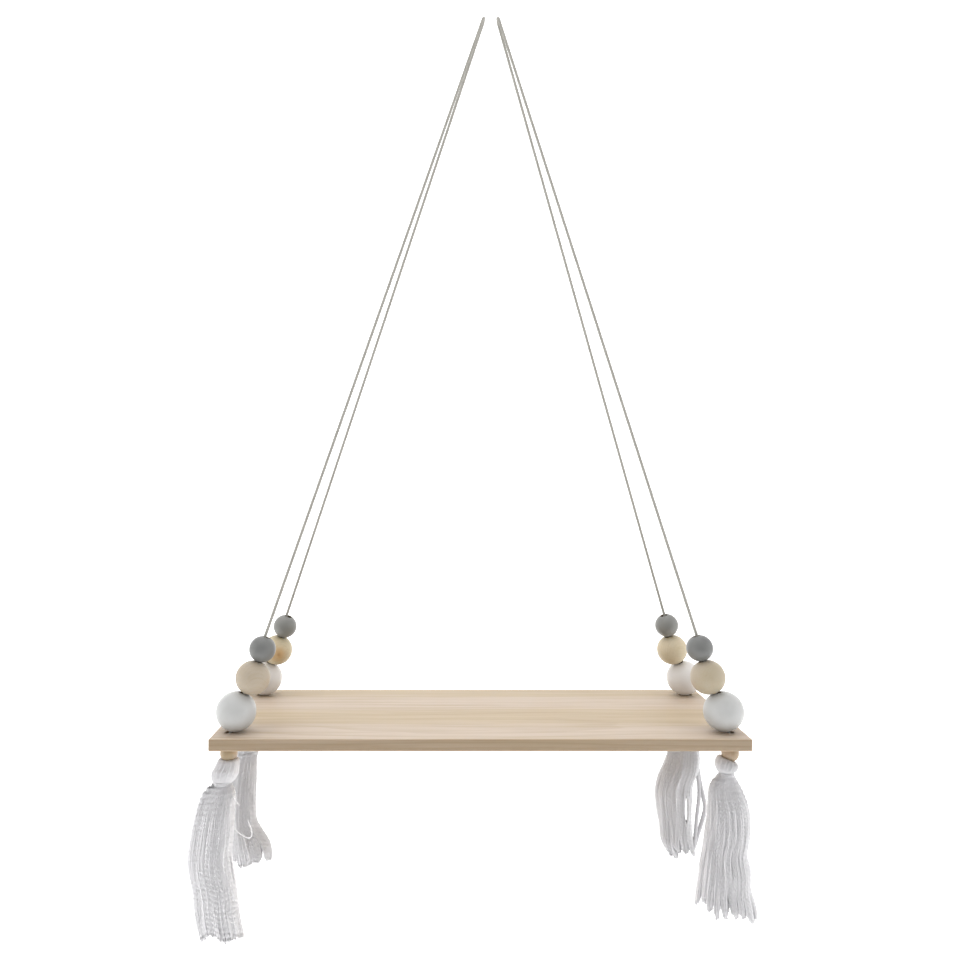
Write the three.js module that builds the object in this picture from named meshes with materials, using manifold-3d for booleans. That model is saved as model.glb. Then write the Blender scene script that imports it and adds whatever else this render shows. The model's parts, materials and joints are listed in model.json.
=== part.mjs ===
// Hanging rope shelf: a pine board slung from two cords, with three wooden beads on each strand above the board
// and a small bead and a yarn tassel below each corner. Millimetres, +Z up, +X along the board, -Y to the front.
// The origin is on the axis of the hook that the two cords hang over, midway between them.
import * as THREE from 'three';
import { mergeVertices } from 'three/addons/utils/BufferGeometryUtils.js';
import Module from 'manifold-3d';

const wasm = await Module();
wasm.setup();

// Board
const board_length = 400;
const board_depth = 150;
const board_thickness = 9;
const board_edge_break = 0.5;
const hole_from_edge = 18;

// Hanging point
const hook_above_board = 566;
const hook_right_of_middle = 11;

// Cords
const cord_diameter = 2;
const cord_spacing = 13.8;
const cord_bend_radius = 4;
const swing_limit = THREE.MathUtils.degToRad(12);
const knot_radius = 3;
const foot_bend_height = 6;
const foot_bend_depth = 5;

// Beads
const white_bead_diameter = 30;
const natural_bead_diameter = 26;
const grey_bead_diameter = 20;
const under_bead_diameter = 13;

// Each corner's cord hole, from the board's end, how far inside it the strand's line meets the board's top, and how
// far its white, natural and grey bead hang off that line, outwards, as shares of the bore's play
const corners = {
  front_left: { hole_from_end: 10.5, foot_inset: 1.8, hang_shares: [0.85, -0.9, -0.7] },
  front_right: { hole_from_end: 10.5, foot_inset: 1.8, hang_shares: [0.9, -0.85, -0.4] },
  rear_left: { hole_from_end: 8.5, foot_inset: 0.4, hang_shares: [0.35, -0.9, -0.9] },
  rear_right: { hole_from_end: 10.5, foot_inset: 1.8, hang_shares: [0.8, -0.85, -0.25] },
};

// Tassels
const tassel_neck_radius = 6.2;
const socket_top_share = 0.65;
const binding_height = 3.2;
const binding_thickness = 1.1;
const backing_thickness = 2.4;

// Clearances
const seat_gap = 0.3;
const bead_bore_play = 2;
const under_bore_play = 0.5;
const board_hole_play = 2;
const knot_socket_play = 0.4;
const swing_gap = 0.3;

// Each tassel's own head, the sway of its neck and its skirt. Down the skirt, at shares of its length, stand its half
// width and the sway of its middle, both as shares of half_width. A sway to the left is negative.
const tassels = {
  front_left: {
    head_radius: 10,
    head_height: 13.4,
    neck_sway: -4.3,
    skirt_length: 120,
    half_width: 16.5,
    station_shares: [0.13, 0.36, 0.68, 1],
    width_shares: [0.84, 0.96, 1, 0.98],
    sway_shares: [-0.58, -0.79, -0.62, -0.27],
  },
  front_right: {
    head_radius: 8.6,
    head_height: 7.2,
    neck_sway: -2.9,
    skirt_length: 110,
    half_width: 23,
    station_shares: [0.13, 0.36, 0.68, 1],
    width_shares: [0.6, 0.72, 0.84, 1],
    sway_shares: [-0.13, -0.09, -0.19, -0.15],
  },
  rear_left: {
    head_radius: 9.4,
    head_height: 13.4,
    neck_sway: -1.6,
    skirt_length: 114,
    half_width: 19,
    station_shares: [0.12, 0.62, 0.84, 1],
    width_shares: [0.49, 0.68, 1, 0.94],
    sway_shares: [-0.56, -0.81, -0.47, -0.43],
  },
  rear_right: {
    head_radius: 9.4,
    head_height: 13.4,
    neck_sway: -2.6,
    skirt_length: 104,
    half_width: 16,
    station_shares: [0.15, 0.5, 1],
    width_shares: [0.81, 1, 0.81],
    sway_shares: [-0.41, -0.86, -0.56],
  },
};

// Strands of a skirt: how many, how deep the skirt is for its width, how thick a strand is for its room,
// how far in its roots stand from the backing's rim, and how ragged its ends are
const strands_per_skirt = 76;
const skirt_depth_share = 0.82;
const strand_room_share = 0.74;
const root_spread_share = 0.82;
const ragged_share = 0.09;
const lock_share = 0.045;
const locks_round = 3;

// Facets
const bead_sides = 18;
const bead_arc_steps = 9;
const small_sides = 16;
const knot_sides = 12;
const under_bead_sides = 14;
const under_bead_arc_steps = 7;
const cord_sides = 8;
const strand_sides = 3;
const straight_steps = 6;
const foot_steps = 6;
const bend_steps = 10;
const socket_steps = 4;

// Worked out from the sizes above
const cord_radius = cord_diameter / 2;
const board_middle = -hook_right_of_middle;
const board_top = -hook_above_board;
const board_bottom = board_top - board_thickness;
const hole_y = board_depth / 2 - hole_from_edge;
const hole_radius = cord_radius + board_hole_play;
const under_bead_radius = under_bead_diameter / 2;
const under_bead_height = board_bottom - seat_gap - under_bead_radius;
const knot_height = under_bead_height - under_bead_radius - seat_gap - knot_radius;
const golden_angle = Math.PI * (3 - Math.sqrt(5));
const placed_corners = [
  { corner: 'front_left', side: -1, row: -1 },
  { corner: 'rear_left', side: -1, row: 1 },
  { corner: 'front_right', side: 1, row: -1 },
  { corner: 'rear_right', side: 1, row: 1 },
];

// How far a corner's hole stands from the board's middle, to the right
function hole_of(corner, side) {
  return side * (board_length / 2 - corners[corner].hole_from_end);
}

// Finishes
function finish(color, roughness) {
  return new THREE.MeshStandardMaterial({ color, roughness, metalness: 0 });
}
const pine = finish(0xe3cba6, 0.6);
const bare_bead_wood = finish(0xe6cfaa, 0.55);
const white_paint = finish(0xf2f1ef, 0.4);
const grey_paint = finish(0x969896, 0.5);
const cord_cotton = finish(0xb9b4a6, 0.9);
const yarn = finish(0xeceaef, 0.95);

const up = new THREE.Vector3(0, 0, 1);
const shelf = new THREE.Group();

function add(name, geometry, material) {
  const mesh = new THREE.Mesh(geometry, material);
  mesh.name = name;
  shelf.add(mesh);
  return mesh;
}

// Booleans work on closed solids made from the geometries
function solid_of(geometry) {
  const bare = geometry.index ? geometry.toNonIndexed() : geometry.clone();
  bare.deleteAttribute('normal');
  bare.deleteAttribute('uv');
  const merged = mergeVertices(bare);
  const vertProperties = new Float32Array(merged.attributes.position.array);
  const triVerts = new Uint32Array(merged.index.array);
  return new wasm.Manifold(new wasm.Mesh({ numProp: 3, vertProperties, triVerts }));
}

function geometry_of(solid) {
  const { vertProperties, triVerts } = solid.getMesh();
  const geometry = new THREE.BufferGeometry();
  geometry.setAttribute('position', new THREE.BufferAttribute(vertProperties, 3));
  geometry.setIndex(new THREE.BufferAttribute(triVerts, 1));
  geometry.computeVertexNormals();
  return geometry;
}

function join(first, second) {
  return geometry_of(solid_of(first).add(solid_of(second)));
}

// A curve that gives its own points back in turn, so a tube's rings stand exactly on the route
class Route extends THREE.Curve {
  constructor(points) {
    super();
    this.points = points;
  }

  nearest(share) {
    return Math.round(share * (this.points.length - 1));
  }

  getPointAt(share) {
    return this.points[this.nearest(share)].clone();
  }

  getTangentAt(share) {
    const index = this.nearest(share);
    const before = this.points[Math.max(index - 1, 0)];
    const after = this.points[Math.min(index + 1, this.points.length - 1)];
    return after.clone().sub(before).normalize();
  }
}

function cord_tube(points) {
  const section = new THREE.Shape();
  for (let side = 0; side < cord_sides; side += 1) {
    const angle = (side / cord_sides) * 2 * Math.PI;
    const x = cord_radius * Math.cos(angle);
    const y = cord_radius * Math.sin(angle);
    if (side === 0) section.moveTo(x, y);
    else section.lineTo(x, y);
  }
  section.closePath();
  const steps = points.length - 1;
  return new THREE.ExtrudeGeometry(section, { steps, extrudePath: new Route(points), bevelEnabled: false });
}

// The board lies flat, with a cord hole near each corner and its edges lightly broken
function board_geometry() {
  const outline = new THREE.Shape();
  const half_length = board_length / 2 - board_edge_break;
  const half_depth = board_depth / 2 - board_edge_break;
  outline.moveTo(-half_length, -half_depth);
  outline.lineTo(half_length, -half_depth);
  outline.lineTo(half_length, half_depth);
  outline.lineTo(-half_length, half_depth);
  outline.closePath();
  for (const { corner, side, row } of placed_corners) {
    const hole = new THREE.Path();
    hole.absarc(hole_of(corner, side), row * hole_y, hole_radius + board_edge_break, 0, 2 * Math.PI, true);
    outline.holes.push(hole);
  }
  return new THREE.ExtrudeGeometry(outline, {
    depth: board_thickness - 2 * board_edge_break,
    bevelEnabled: true,
    bevelThickness: board_edge_break,
    bevelSize: board_edge_break,
    bevelSegments: 1,
    curveSegments: small_sides / 2,
  });
}

// A turned bead with a straight bore along its own Y axis
function bead_geometry(radius, bore_radius, sides, arc_steps) {
  const mouth = Math.asin(bore_radius / radius);
  const profile = [];
  for (let step = 0; step <= arc_steps; step += 1) {
    const angle = mouth + (step / arc_steps) * (Math.PI - 2 * mouth);
    profile.push(new THREE.Vector2(radius * Math.sin(angle), -radius * Math.cos(angle)));
  }
  profile.push(profile[0].clone());
  return new THREE.LatheGeometry(profile, sides);
}

// Where one corner's strand runs: from the bend at the hook, straight to the board, and down through its hole
function strand_of(corner, side, row) {
  const centre = new THREE.Vector3((side * cord_spacing) / 2, 0, 0);
  const foot_x = board_middle + hole_of(corner, side) - side * corners[corner].foot_inset;
  const foot = new THREE.Vector3(foot_x, row * hole_y, board_top);
  const lean = Math.atan2(Math.abs(foot.x - centre.x), hook_above_board);
  const bend_up = new THREE.Vector3(-side * Math.sin(lean), 0, Math.cos(lean));
  const across = new THREE.Vector3(0, row, 0);
  const reach = foot.clone().sub(centre);
  const drop = -reach.dot(bend_up);
  const spread = reach.dot(across);
  const turn = Math.PI - Math.atan2(spread, drop) - Math.acos(cord_bend_radius / Math.hypot(drop, spread));
  const bend_point = (angle) =>
    centre
      .clone()
      .addScaledVector(across, cord_bend_radius * Math.sin(angle))
      .addScaledVector(bend_up, cord_bend_radius * Math.cos(angle));
  const top = bend_point(turn);
  const along = top.clone().sub(foot).normalize();
  const aside = new THREE.Vector3(side, 0, 0).projectOnPlane(along).normalize();
  return { foot, top, along, aside, turn, bend_point };
}

// A strand: its straight run, the soft turn into the hole, the length through board and small bead, and its knot
function strand_geometry(strand, corner, side, row) {
  const points = [];
  const run_end = strand.foot.clone().addScaledVector(strand.along, foot_bend_height / strand.along.z);
  for (let step = 0; step < straight_steps; step += 1) {
    points.push(strand.top.clone().lerp(run_end, step / straight_steps));
  }
  const hole_x = board_middle + hole_of(corner, side);
  const hole = new THREE.Vector3(hole_x, row * hole_y, board_top - foot_bend_depth);
  const turn_in = new THREE.CubicBezierCurve3(
    run_end,
    run_end.clone().addScaledVector(strand.along, -(foot_bend_height / 2)),
    hole.clone().addScaledVector(up, foot_bend_depth / 2),
    hole,
  );
  points.push(...turn_in.getPoints(foot_steps));
  const end = new THREE.Vector3(hole.x, hole.y, knot_height);
  points.push(end);
  const knot = new THREE.SphereGeometry(knot_radius, knot_sides, knot_sides / 2);
  knot.translate(end.x, end.y, end.z);
  return join(cord_tube(points), knot);
}

// The short part of a cord that lies on the hook. It stops short of the strands by their swing.
function bend_geometry(front, rear) {
  const inner_radius = cord_bend_radius - cord_radius;
  const short = swing_limit + swing_gap / inner_radius;
  const points = [];
  for (let step = 0; step <= bend_steps; step += 1) {
    const angle = front.turn - short - (step / bend_steps) * (front.turn + rear.turn - 2 * short);
    points.push(angle >= 0 ? front.bend_point(angle) : rear.bend_point(-angle));
  }
  return cord_tube(points);
}

// The three beads of a strand rest on the board and mouth to mouth on each other
const stack = [
  { name: 'white_bead', radius: white_bead_diameter / 2, material: white_paint },
  { name: 'natural_bead', radius: natural_bead_diameter / 2, material: bare_bead_wood },
  { name: 'grey_bead', radius: grey_bead_diameter / 2, material: grey_paint },
];

function add_beads(corner, strand) {
  const bore_radius = cord_radius + bead_bore_play;
  let rise = 0;
  let mouth_above = 0;
  for (const [index, bead] of stack.entries()) {
    const off = corners[corner].hang_shares[index] * bead_bore_play;
    const mouth = Math.sqrt(bead.radius ** 2 - bore_radius ** 2);
    if (index === 0) rise = (bead.radius + seat_gap - off * strand.aside.z) / strand.along.z;
    else rise += mouth_above + seat_gap + mouth;
    mouth_above = mouth;
    const geometry = bead_geometry(bead.radius, bore_radius, bead_sides, bead_arc_steps);
    const mesh = add(`${corner}_${bead.name}`, geometry, bead.material);
    mesh.position.copy(strand.foot).addScaledVector(strand.along, rise).addScaledVector(strand.aside, off);
    mesh.quaternion.setFromUnitVectors(new THREE.Vector3(0, 1, 0), strand.along);
  }
}

// The head is yarn gathered over the knot, which sits in a round socket open at the top. Outside it leans from the
// socket's mouth to the neck.
function head_geometry({ head_radius, head_height, neck_sway }) {
  const socket_radius = knot_radius + knot_socket_play;
  const top = socket_radius * socket_top_share;
  const mouth = Math.sqrt(socket_radius ** 2 - top ** 2);
  const bottom = top - head_height;
  const outer_shares = [
    [0.06, 0],
    [0.42, 0.08],
    [0.8, 0.22],
    [1, 0.46],
    [0.92, 0.7],
    [0.5, 0.92],
    [0, 1],
  ];
  const profile = [new THREE.Vector2(0, bottom)];
  for (const [width_share, fall_share] of outer_shares.toReversed()) {
    const inner = fall_share < 0.5 ? mouth : tassel_neck_radius;
    const radius = inner + width_share * (head_radius - inner);
    profile.push(new THREE.Vector2(radius, top - fall_share * head_height));
  }
  const outer_count = profile.length;
  for (let step = socket_steps; step >= 0; step -= 1) {
    const angle = (step / socket_steps) * (Math.PI / 2 + Math.asin(top / socket_radius));
    profile.push(new THREE.Vector2(socket_radius * Math.sin(angle), -socket_radius * Math.cos(angle)));
  }
  const geometry = new THREE.LatheGeometry(profile, small_sides);
  const places = geometry.attributes.position;
  for (let index = 0; index < places.count; index += 1) {
    if (index % profile.length >= outer_count) continue;
    const fall_share = (top - places.getY(index)) / head_height;
    places.setX(index, places.getX(index) + neck_sway * fall_share);
  }
  geometry.computeVertexNormals();
  return { geometry, bottom };
}

// The yarn wound round the neck, as one closed band
function binding_geometry() {
  const inner = tassel_neck_radius + seat_gap;
  const outer = inner + binding_thickness;
  const half = binding_height / 2;
  const profile = [
    new THREE.Vector2(inner, -half),
    new THREE.Vector2(inner + binding_thickness / 2, -half),
    new THREE.Vector2(outer, -half / 2),
    new THREE.Vector2(outer, half / 2),
    new THREE.Vector2(inner + binding_thickness / 2, half),
    new THREE.Vector2(inner, half),
    new THREE.Vector2(inner, -half),
  ];
  return new THREE.LatheGeometry(profile, small_sides);
}

// A level ring of points, the band of triangles between two rings, and a level face with holes in it
function ring(middle, radius, sides, turn) {
  const points = [];
  for (let side = 0; side < sides; side += 1) {
    const angle = turn + (side / sides) * 2 * Math.PI;
    const x = middle.x + radius * Math.cos(angle);
    const y = middle.y + radius * Math.sin(angle);
    points.push(new THREE.Vector3(x, y, middle.z));
  }
  return points;
}

function band(upper, lower) {
  return upper.flatMap((point, side) => {
    const next = (side + 1) % upper.length;
    return [point, lower[side], upper[next], upper[next], lower[side], lower[next]];
  });
}

function level_face(outline, holes, facing_up) {
  const shape = new THREE.Shape(outline);
  shape.holes = holes.map((hole) => new THREE.Path(hole));
  const vertices = new THREE.ShapeGeometry(shape).toNonIndexed().attributes.position;
  const points = [];
  for (let index = 0; index < vertices.count; index += 1) {
    points.push(new THREE.Vector3(vertices.getX(index), vertices.getY(index), outline[0].z));
  }
  return facing_up ? points : points.reverse();
}

// The skirt's width, depth and middle at a share of its length, straight between the stations
function skirt_section(tassel, share) {
  const stations = [0, ...tassel.station_shares];
  const widths = [tassel_neck_radius * root_spread_share];
  widths.push(...tassel.width_shares.map((width_share) => width_share * tassel.half_width));
  const sways = [tassel.neck_sway, ...tassel.sway_shares.map((sway_share) => sway_share * tassel.half_width)];
  let span = 0;
  while (span < stations.length - 2 && share > stations[span + 1]) span += 1;
  const within = (share - stations[span]) / (stations[span + 1] - stations[span]);
  const half_width = THREE.MathUtils.lerp(widths[span], widths[span + 1], within);
  const middle = THREE.MathUtils.lerp(sways[span], sways[span + 1], within);
  const flatness = THREE.MathUtils.lerp(1, skirt_depth_share, Math.min(share / stations[1], 1));
  return { half_width, half_depth: half_width * flatness, middle };
}

// Each strand of yarn is a prism whose level sections spread with the skirt, so no two cross. All grow from the
// underside of one round backing, which sits in the binding.
function yarn_rings(tassel, index, phase) {
  const spread = Math.sqrt((index + 0.5) / strands_per_skirt);
  const angle = index * golden_angle + phase;
  const uneven = (index * golden_angle) % 1;
  const lock = (1 + Math.sin(locks_round * angle)) / 2;
  const end_share = 1 - ragged_share * uneven - lock_share * lock;
  return [0, ...tassel.station_shares.slice(0, -1), end_share].map((share) => {
    const { half_width, half_depth, middle } = skirt_section(tassel, share);
    const x = middle + half_width * spread * Math.cos(angle);
    const y = half_depth * spread * Math.sin(angle);
    const z = -backing_thickness / 2 - share * tassel.skirt_length;
    const radius = (half_depth * strand_room_share) / Math.sqrt(strands_per_skirt);
    return ring(new THREE.Vector3(x, y, z), radius, strand_sides, angle);
  });
}

function skirt_geometry(tassel, phase) {
  const upper = new THREE.Vector3(tassel.neck_sway, 0, backing_thickness / 2);
  const lower = new THREE.Vector3(tassel.neck_sway, 0, -backing_thickness / 2);
  const top = ring(upper, tassel_neck_radius, small_sides, 0);
  const underside = ring(lower, tassel_neck_radius, small_sides, 0);
  const vertices = [...level_face(top, [], true), ...band(top, underside)];
  const roots = [];
  for (let index = 0; index < strands_per_skirt; index += 1) {
    const rings = yarn_rings(tassel, index, phase);
    roots.push(rings[0]);
    for (let span = 1; span < rings.length; span += 1) {
      vertices.push(...band(rings[span - 1], rings[span]));
    }
    vertices.push(...rings[rings.length - 1].toReversed());
  }
  vertices.push(...level_face(underside, roots, false));
  return new THREE.BufferGeometry().setFromPoints(vertices);
}

function add_tassel(corner, hole, phase) {
  const tassel = tassels[corner];
  const pivot = new THREE.Vector3(hole.x, hole.y, knot_height);
  const { geometry, bottom } = head_geometry(tassel);
  const head = add(`${corner}_tassel_head`, geometry, yarn);
  head.rotation.x = Math.PI / 2;
  head.position.copy(pivot);
  const backing_middle = bottom - seat_gap - backing_thickness / 2;
  const binding = add(`${corner}_tassel_binding`, binding_geometry(), yarn);
  binding.rotation.x = Math.PI / 2;
  binding.position.set(pivot.x + tassel.neck_sway, pivot.y, pivot.z + backing_middle);
  const skirt = add(`${corner}_tassel_skirt`, skirt_geometry(tassel, phase), yarn);
  skirt.position.copy(pivot).addScaledVector(up, backing_middle);
}

// The whole shelf, corner by corner
const board = add('board', board_geometry(), pine);
board.position.set(board_middle, 0, board_bottom + board_edge_break);

const strands = {};
for (const { corner, side, row } of placed_corners) {
  const hole_x = board_middle + hole_of(corner, side);
  const strand = strand_of(corner, side, row);
  strands[corner] = strand;
  add(`${corner}_cord`, strand_geometry(strand, corner, side, row), cord_cotton);
  add_beads(corner, strand);
  const under_bore = cord_radius + under_bore_play;
  const under_geometry = bead_geometry(under_bead_radius, under_bore, under_bead_sides, under_bead_arc_steps);
  const under_bead = add(`${corner}_under_bead`, under_geometry, bare_bead_wood);
  under_bead.rotation.x = Math.PI / 2;
  under_bead.position.set(hole_x, row * hole_y, under_bead_height);
  add_tassel(corner, new THREE.Vector3(hole_x, row * hole_y, board_top), side + row / 2);
}
add('left_cord_bend', bend_geometry(strands.front_left, strands.rear_left), cord_cotton);
add('right_cord_bend', bend_geometry(strands.front_right, strands.rear_right), cord_cotton);

export default shelf;
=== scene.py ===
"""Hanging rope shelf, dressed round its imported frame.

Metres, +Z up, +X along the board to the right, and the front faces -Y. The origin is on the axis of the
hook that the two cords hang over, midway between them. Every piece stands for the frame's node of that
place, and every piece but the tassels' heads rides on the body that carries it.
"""

import json
import math

import bpy
import numpy as np
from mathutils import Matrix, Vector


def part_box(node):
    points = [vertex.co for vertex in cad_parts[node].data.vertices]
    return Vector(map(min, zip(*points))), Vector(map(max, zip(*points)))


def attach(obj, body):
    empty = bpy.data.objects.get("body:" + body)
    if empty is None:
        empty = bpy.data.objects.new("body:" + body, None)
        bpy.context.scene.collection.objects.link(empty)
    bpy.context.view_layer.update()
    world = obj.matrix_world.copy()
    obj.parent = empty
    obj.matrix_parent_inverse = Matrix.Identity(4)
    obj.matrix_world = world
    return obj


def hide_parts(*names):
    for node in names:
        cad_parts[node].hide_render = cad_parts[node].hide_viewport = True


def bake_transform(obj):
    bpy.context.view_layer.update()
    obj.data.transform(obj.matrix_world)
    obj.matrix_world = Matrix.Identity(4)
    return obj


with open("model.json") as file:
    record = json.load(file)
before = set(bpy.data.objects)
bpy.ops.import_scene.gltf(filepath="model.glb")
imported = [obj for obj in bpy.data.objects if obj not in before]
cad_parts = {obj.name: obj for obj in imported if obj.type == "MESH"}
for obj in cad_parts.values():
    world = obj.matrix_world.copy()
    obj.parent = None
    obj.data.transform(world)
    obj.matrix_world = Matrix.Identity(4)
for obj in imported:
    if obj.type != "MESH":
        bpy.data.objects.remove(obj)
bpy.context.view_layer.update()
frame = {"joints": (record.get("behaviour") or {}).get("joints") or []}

MM = 0.001
SIDES = {"left": -1, "right": 1}
ROWS = {"front": -1, "rear": 1}
GOLDEN_ANGLE = math.pi * (3 - math.sqrt(5))

# From the frame: the board's place, each bead's lift, and what the shelf and each tassel swing about
board_low, board_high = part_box("board")
slides = [joint for joint in frame["joints"] if joint["type"] == "slide"]
hinges = [joint for joint in frame["joints"] if joint["type"] == "hinge"]
lifts = {joint["child"]: np.array(joint["axis"], float) for joint in slides}
pivots = {joint["child"]: np.array(joint["pos_m"], float) for joint in hinges}

# Camera, at the place that the photograph was taken from
CAMERA_PLACE = (-0.0318, -0.708, -0.3754)
PHOTO_SIDE = 960
FOCAL_PIXELS = 861
AXIS_PIXEL = 452
SENSOR_WIDTH = 36

# Light: where the softboxes aim, which way the tent is darkest and how much the floor glows
LIT_PLACE = (0, 0, -0.5)
TENT_DARK_WAY = (0.0, -0.96, -0.28)
FLOOR_GLOW = 0.66

# Cords
CORD_RADIUS = 1.0 * MM
CORD_SPACING = 13.8 * MM
BEND_RADIUS = 4.0 * MM
BEND_REACH = math.radians(97)
BEND_POINTS = 60
FOOT_INSETS = {"front_left": 1.8 * MM, "front_right": 1.8 * MM, "rear_left": 0.4 * MM, "rear_right": 1.8 * MM}
FOOT_BEND_HEIGHT = 6.0 * MM
FOOT_BEND_DEPTH = 5.0 * MM
FOOT_BEND_POINTS = 20
PLY_COUNT = 3
PLY_RADIUS = 0.7 * MM
PLY_OFFSET = 0.56 * MM
PLY_PITCH = 6.2 * MM
PLY_STEPS = 9
KNOT_RADIUS = 2.0 * MM
KNOT_POINTS = 60
KNOT_HEIGHT_SHARE = 0.7

# Beads: their radii, their bores and how round a bore's mouth is worn
WHITE_RADIUS = 15.0 * MM
NATURAL_RADIUS = 13.0 * MM
GREY_RADIUS = 10.0 * MM
SMALL_RADIUS = 6.5 * MM
BEAD_BORE = 3.0 * MM
SMALL_BORE = 1.5 * MM
MOUTH_ROUND = 0.5 * MM
BEAD_SIDES = 72
BEAD_ARC_STEPS = 40
MOUTH_STEPS = 5
KNOT_STAIN_OFFSET = (3.6 * MM, -12.3 * MM, -2.0 * MM)

# Board
BOARD_EDGE = 0.6 * MM
BOARD_EDGE_STEPS = 3
BOARD_HOLE = 3.0 * MM
BOARD_HOLE_SIDES = 48

# Yarn
YARN_RADIUS = 1.35 * MM
YARN_PLIES = 3
YARN_GROOVE_SHARE = 0.06
YARN_TWIST_PITCH = 11.0 * MM
THREAD_RADIUS = 0.5 * MM
THREAD_PLIES = 2
THREAD_GROOVE_SHARE = 0.12

# Wood grain: how far its rings wander and its bands drift
RING_WANDER = 16.0 * MM
BAND_DRIFT = 30.0 * MM

# How deep light soaks into wood, paint and cotton, and how rough the paint is
WOOD_SOAK_DEPTH = 3.0 * MM
PAINT_SOAK_DEPTH = 6.0 * MM
COTTON_SOAK_DEPTH = 2.5 * MM
PAINT_ROUGHNESS = 0.42


# Meshes
def placed(name, data):
    """A new object, put in the scene."""
    piece = bpy.data.objects.new(name, data)
    bpy.context.scene.collection.objects.link(piece)
    return piece


def plain_mesh(piece):
    """The piece's mesh as its modifiers or its curve leave it."""
    bpy.context.view_layer.update()
    return bpy.data.meshes.new_from_object(piece.evaluated_get(bpy.context.evaluated_depsgraph_get()))


def mesh_object(name, points, faces, *finishes):
    mesh = bpy.data.meshes.new(name)
    mesh.from_pydata([tuple(point) for point in points], [], faces)
    for finish in finishes:
        mesh.materials.append(finish)
    mesh.polygons.foreach_set("use_smooth", [True] * len(mesh.polygons))
    mesh.update()
    return placed(name, mesh)


def dress(piece, body, slot, *nodes):
    """The piece rides on its body and stands for its nodes. Its slot is not used."""
    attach(piece, body)
    if nodes:
        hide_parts(*nodes)
    return piece


def middle_of(node):
    low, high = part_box(node)
    return (np.array(low) + np.array(high)) / 2


def unit(vector):
    return vector / np.linalg.norm(vector)


def square_to(axis):
    """Two directions that are square to the axis and to each other."""
    across = unit(np.cross(axis, (0.0, 1.0, 0.0) if abs(axis[1]) < 0.9 else (1.0, 0.0, 0.0)))
    return across, np.cross(axis, across)


def turned(profile, sides, centre, axis):
    """The points and faces of a closed profile of (radius, height) spun round the axis."""
    across, along = square_to(axis)
    points, faces = [], []
    for side in range(sides):
        angle = 2 * math.pi * side / sides
        outward = math.cos(angle) * across + math.sin(angle) * along
        points += [centre + radius * outward + height * axis for radius, height in profile]
    count = len(profile)
    for side in range(sides):
        here, there = side * count, (side + 1) % sides * count
        for step in range(count):
            after = (step + 1) % count
            faces.append((here + step, there + step, there + after, here + after))
    return points, faces


def distances_along(route):
    """How far along the route each of its points is."""
    return np.concatenate([[0], np.cumsum(np.linalg.norm(np.diff(route, axis=0), axis=1))])


def evenly(route, spacing):
    """The route again, with its points about that far apart, and how far along it they are."""
    travelled = distances_along(route)
    stops = np.linspace(0, travelled[-1], max(2, math.ceil(travelled[-1] / spacing) + 1))
    return np.stack([np.interp(stops, travelled, route[:, axis]) for axis in range(3)], axis=1), stops


def upright(route):
    """Two directions square to the route at each of its points, that turn no more than the route does."""
    tangents = np.gradient(route, axis=0)
    tangents /= np.linalg.norm(tangents, axis=1)[:, None]
    normal, _ = square_to(tangents[0])
    normals = []
    for tangent in tangents:
        normal = unit(normal - tangent * (normal @ tangent))
        normals.append(normal)
    normals = np.array(normals)
    return normals, np.cross(tangents, normals)


# Nodes
def wired(tree, kind, inputs, **settings):
    """The outputs of a new node. Its inputs are linked to sockets or set to values."""
    node = tree.nodes.new(kind)
    for key, value in settings.items():
        setattr(node, key, value)
    for label, value in inputs.items():
        if isinstance(value, bpy.types.NodeSocket):
            tree.links.new(value, node.inputs[label])
        else:
            node.inputs[label].default_value = value
    return node.outputs


def node_group(name, kind, inputs, outputs):
    """A new node group and the sockets at its two ends. An input has a kind or, as a float, a value."""
    tree = bpy.data.node_groups.new(name, f"{kind}NodeTree")
    for label, value in inputs.items():
        socket_kind = value if isinstance(value, str) else "Float"
        socket = tree.interface.new_socket(label, in_out="INPUT", socket_type=f"NodeSocket{socket_kind}")
        if socket_kind != value:
            socket.default_value = value
    for label, socket_kind in outputs.items():
        tree.interface.new_socket(label, in_out="OUTPUT", socket_type=f"NodeSocket{socket_kind}")
    return tree, tree.nodes.new("NodeGroupInput").outputs, tree.nodes.new("NodeGroupOutput").inputs


def math_node(tree, operation, *values):
    return wired(tree, "ShaderNodeMath", dict(enumerate(values)), operation=operation)[0]


def times(tree, first, second):
    return math_node(tree, "MULTIPLY", first, second)


def plus(tree, first, second):
    return math_node(tree, "ADD", first, second)


def named_field(tree, name):
    return wired(tree, "GeometryNodeInputNamedAttribute", {"Name": name}, data_type="FLOAT")["Attribute"]


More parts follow.
